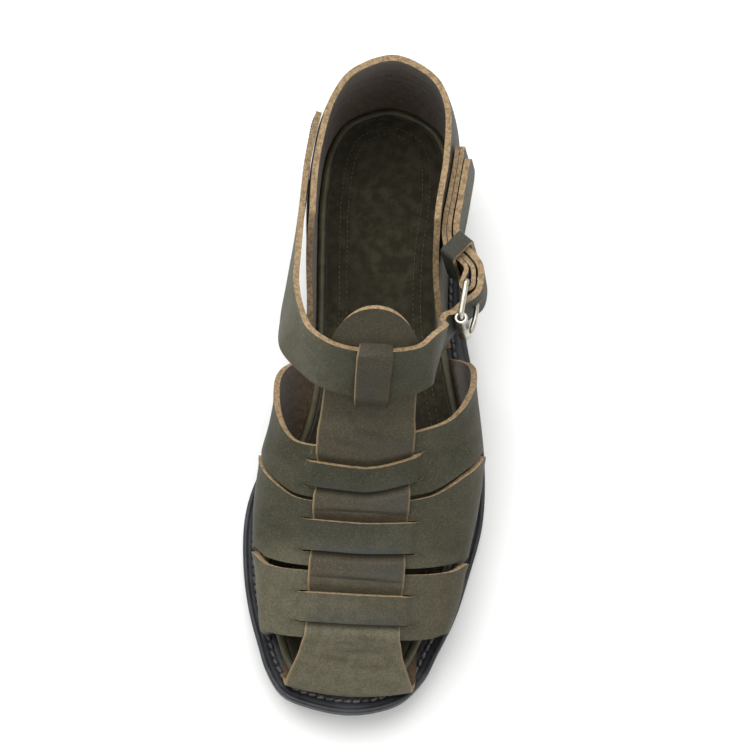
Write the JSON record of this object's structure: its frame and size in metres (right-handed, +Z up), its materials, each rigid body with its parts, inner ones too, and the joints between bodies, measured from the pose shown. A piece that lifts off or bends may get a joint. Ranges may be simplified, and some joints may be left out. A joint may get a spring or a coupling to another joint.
{
  "type": "gurkha sandal",
  "caption": "Left closed-heel gurkha sandal: leather cross bands woven with a centre strap, ankle strap with roller buckle, heel cup, and welted rubber sole with a low heel.",
  "frame": {"origin": "middle of the bounding box seen from above, on the floor plane that the heel and the ball of the sole stand on", "axes": "+Y towards the heel and -Y towards the toe, +X to the outer (lateral) side, +Z up"},
  "size_m": [0.1106, 0.298, 0.122],
  "materials": {
    "upper_leather": "dark olive oiled leather, matt",
    "footbed_suede": "dark olive brown suede",
    "rim_leather": "smooth olive leather",
    "welt_leather": "dark blue black welt leather, satin",
    "sole_rubber": "black rubber, satin",
    "buckle_metal": "satin nickel"
  },
  "bodies": {
    "root": {"outsole": "sole_rubber", "heel": "sole_rubber", "heel_lift": "sole_rubber", "welt": "welt_leather", "footbed_rim": "rim_leather", "footbed": "footbed_suede", "upper": "upper_leather", "heel_counter": "upper_leather", "ankle_strap": "upper_leather", "buckle_chape": "upper_leather", "strap_keeper": "upper_leather", "buckle_frame": "buckle_metal", "buckle_roller": "buckle_metal", "buckle_prong": "buckle_metal"}
  },
  "joints": []
}
